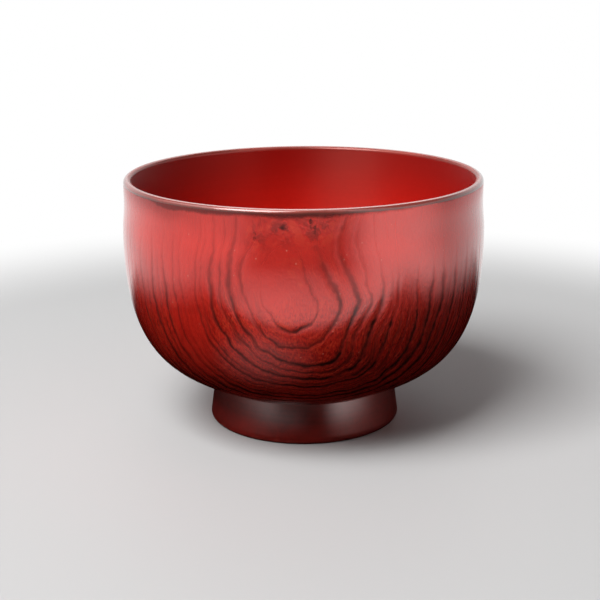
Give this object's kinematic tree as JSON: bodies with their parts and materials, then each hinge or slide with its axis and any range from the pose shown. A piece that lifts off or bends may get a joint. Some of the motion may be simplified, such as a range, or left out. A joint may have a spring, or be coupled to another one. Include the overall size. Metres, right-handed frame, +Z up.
{
  "type": "lacquer soup bowl",
  "caption": "Deep round wooden soup bowl on a ring foot, vermilion inside, red over black lacquer outside with the wood grain showing.",
  "frame": {"origin": "middle of the standing plane under the foot", "axes": "+Z up along the turning axis, -Y towards the side with the oval grain figure"},
  "size_m": [0.115, 0.115, 0.08],
  "materials": {
    "zelkova": "turned, sealed with raw lacquer",
    "hemp": "woven, stiffened with lacquer paste",
    "red_over_black": "rubbed red lacquer over black, grain showing",
    "lip_brown": "polished brown lacquer",
    "vermilion": "plain satin vermilion lacquer",
    "foot_red": "satin dark red lacquer"
  },
  "bodies": {
    "root": {"wooden_cup": "zelkova", "foot_ring": "zelkova", "lip_cloth": "hemp", "foot_cloth": "hemp", "outer_lacquer": "red_over_black", "lip_lacquer": "lip_brown", "inner_lacquer": "vermilion", "foot_lacquer": "foot_red", "base_lacquer": "foot_red"}
  },
  "joints": []
}
